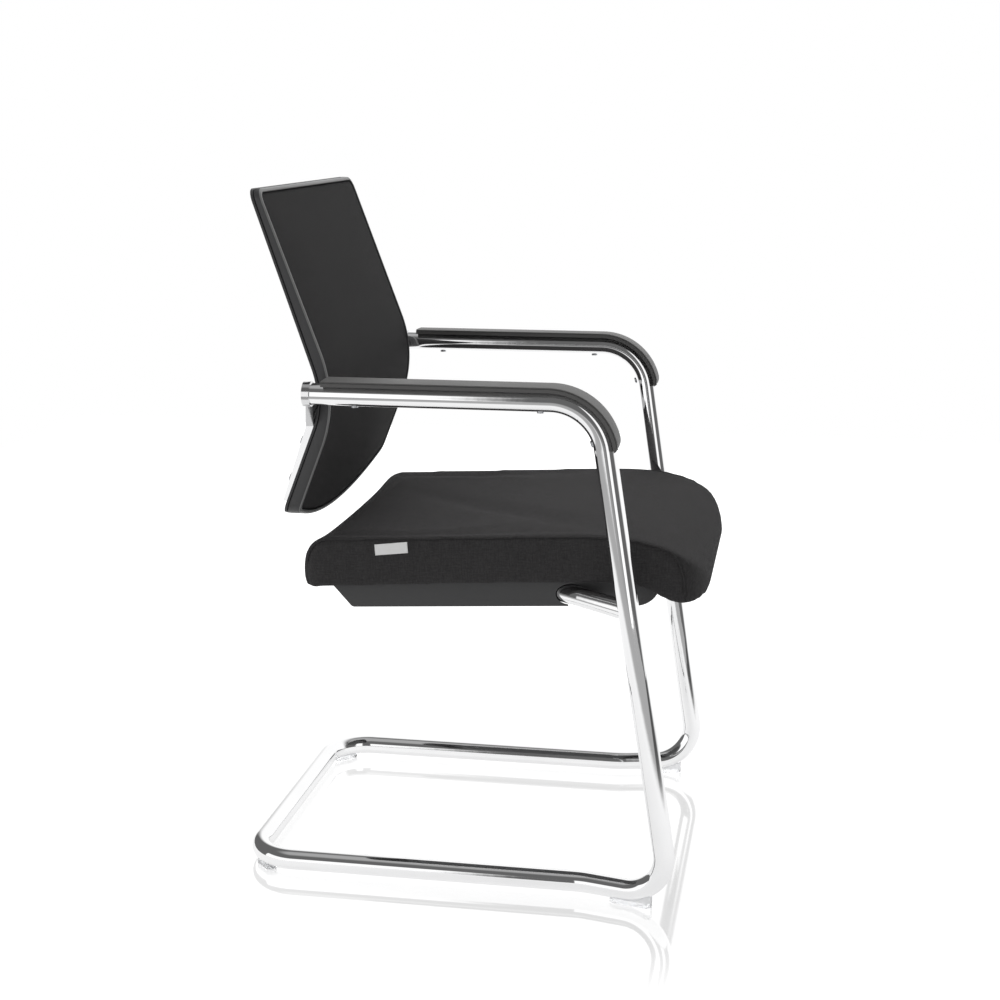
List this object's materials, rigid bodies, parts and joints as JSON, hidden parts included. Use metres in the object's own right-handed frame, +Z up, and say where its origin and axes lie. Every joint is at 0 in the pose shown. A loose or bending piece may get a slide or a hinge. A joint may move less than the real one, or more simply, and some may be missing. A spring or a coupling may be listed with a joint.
{
  "type": "visitor chair",
  "caption": "Cantilever visitor chair with a bent chromed tube frame, padded black seat, padded back and arm pads over the tube.",
  "frame": {"origin": "on the floor under the middle of the chair's bounding box", "axes": "+X to the front of the chair, +Y to the sitter's left, +Z up"},
  "size_m": [0.587, 0.537, 0.8645],
  "materials": {
    "chrome": "polished chrome plate",
    "pad_plastic": "fine-grained dark grey",
    "shell_plastic": "fine-grained black",
    "panel_plastic": "moulded, unfinished",
    "clear_plastic": "translucent white",
    "black_fabric": "plain woven polyester",
    "foam": "moulded foam",
    "plywood": "raw plywood",
    "zinc_steel": "zinc plated",
    "black_steel": "black paint",
    "brass": "turned",
    "black_rubber": "moulded",
    "white_tag": "plain woven tag"
  },
  "bodies": {
    "root": {"arm_end_plug_left": "zinc_steel", "arm_end_plug_right": "zinc_steel", "arm_pad_inserts": "brass", "arm_pad_left": "pad_plastic", "arm_pad_right": "pad_plastic", "arm_pad_screws": "zinc_steel", "back_board": "panel_plastic", "back_bracket_left": "chrome", "back_bracket_right": "chrome", "back_cover": "black_fabric", "back_foam": "foam", "back_frame": "shell_plastic", "back_inserts": "brass", "back_screws": "zinc_steel", "back_shell": "shell_plastic", "bracket_bolts": "zinc_steel", "frame_tube": "chrome", "glide_front_left": "clear_plastic", "glide_front_right": "clear_plastic", "glide_rear_left": "clear_plastic", "glide_rear_right": "clear_plastic", "seat_board": "plywood", "seat_bolts": "zinc_steel", "seat_cover": "black_fabric", "seat_foam": "foam", "seat_label": "white_tag", "seat_rail_left": "chrome", "seat_rail_right": "chrome", "seat_spacers": "black_rubber", "seat_strap_front": "black_steel", "seat_strap_rear": "black_steel", "seat_tee_nuts": "zinc_steel", "seat_under_cover": "shell_plastic", "seat_washers": "zinc_steel", "under_cover_screws": "zinc_steel"}
  },
  "joints": []
}
